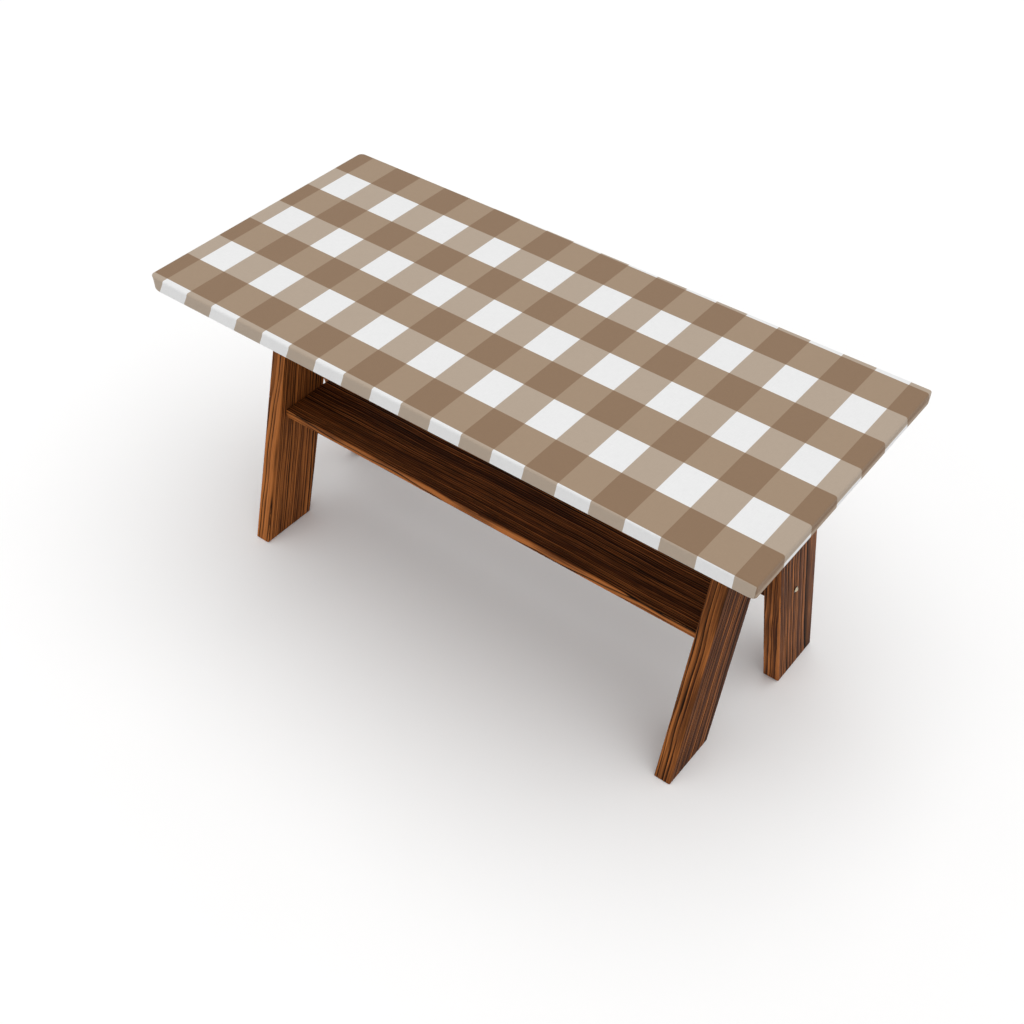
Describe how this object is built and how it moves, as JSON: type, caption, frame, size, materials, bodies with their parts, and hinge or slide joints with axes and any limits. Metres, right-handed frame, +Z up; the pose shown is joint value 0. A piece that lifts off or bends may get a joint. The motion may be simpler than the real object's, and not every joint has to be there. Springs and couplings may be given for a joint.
{
  "type": "picnic table with fitted tablecloth",
  "caption": "Slatted pine picnic table on lapped A-frame trestles with a low shelf, under a fitted elastic-edged brown and white checked tablecloth.",
  "frame": {"origin": "on the floor under the middle of the table top", "axes": "+X along the table's length, +Y across it towards the back, +Z up"},
  "size_m": [1.5, 0.68, 0.75],
  "materials": {
    "checked_cloth": "matt plain weave cotton-polyester, printed brown and white check",
    "white_elastic": "braided white elastic",
    "charred_pine": "scorched, brushed and oiled pine with near-black grain",
    "zinc_fixing": "dull zinc plate"
  },
  "bodies": {
    "table": {"top_board_1": "charred_pine", "top_board_2": "charred_pine", "top_board_3": "charred_pine", "top_board_4": "charred_pine", "top_board_5": "charred_pine", "leg_left_front": "charred_pine", "leg_left_back": "charred_pine", "bearer_left_inner": "charred_pine", "bearer_left_outer": "charred_pine", "shelf_rail_left": "charred_pine", "shelf_spacer_left": "charred_pine", "apex_bolt_left_front": "zinc_fixing", "apex_bolt_left_back": "zinc_fixing", "apex_nut_left_front": "zinc_fixing", "apex_nut_left_back": "zinc_fixing", "shelf_bolt_left": "zinc_fixing", "shelf_nut_left": "zinc_fixing", "shelf_coach_screw_left": "zinc_fixing", "board_screw_left_inner_1": "zinc_fixing", "board_screw_left_inner_2": "zinc_fixing", "board_screw_left_inner_3": "zinc_fixing", "board_screw_left_inner_4": "zinc_fixing", "board_screw_left_inner_5": "zinc_fixing", "board_screw_left_outer_1": "zinc_fixing", "board_screw_left_outer_2": "zinc_fixing", "board_screw_left_outer_3": "zinc_fixing", "board_screw_left_outer_4": "zinc_fixing", "board_screw_left_outer_5": "zinc_fixing", "leg_right_front": "charred_pine", "leg_right_back": "charred_pine", "bearer_right_inner": "charred_pine", "bearer_right_outer": "charred_pine", "shelf_rail_right": "charred_pine", "shelf_spacer_right": "charred_pine", "apex_bolt_right_front": "zinc_fixing", "apex_bolt_right_back": "zinc_fixing", "apex_nut_right_front": "zinc_fixing", "apex_nut_right_back": "zinc_fixing", "shelf_bolt_right": "zinc_fixing", "shelf_nut_right": "zinc_fixing", "shelf_coach_screw_right": "zinc_fixing", "board_screw_right_inner_1": "zinc_fixing", "board_screw_right_inner_2": "zinc_fixing", "board_screw_right_inner_3": "zinc_fixing", "board_screw_right_inner_4": "zinc_fixing", "board_screw_right_inner_5": "zinc_fixing", "board_screw_right_outer_1": "zinc_fixing", "board_screw_right_outer_2": "zinc_fixing", "board_screw_right_outer_3": "zinc_fixing", "board_screw_right_outer_4": "zinc_fixing", "board_screw_right_outer_5": "zinc_fixing", "shelf_board_front": "charred_pine", "shelf_board_back": "charred_pine"},
    "cover": {"cover_panel": "checked_cloth", "hem_casing": "checked_cloth", "hem_elastic": "white_elastic"}
  },
  "joints": [
    {"name": "cover_lift", "type": "slide", "parent": "table", "child": "cover", "axis": [0, 0, 1], "range_m": [0, 0.12], "deforming": ["hem_casing", "hem_elastic"]}
  ]
}
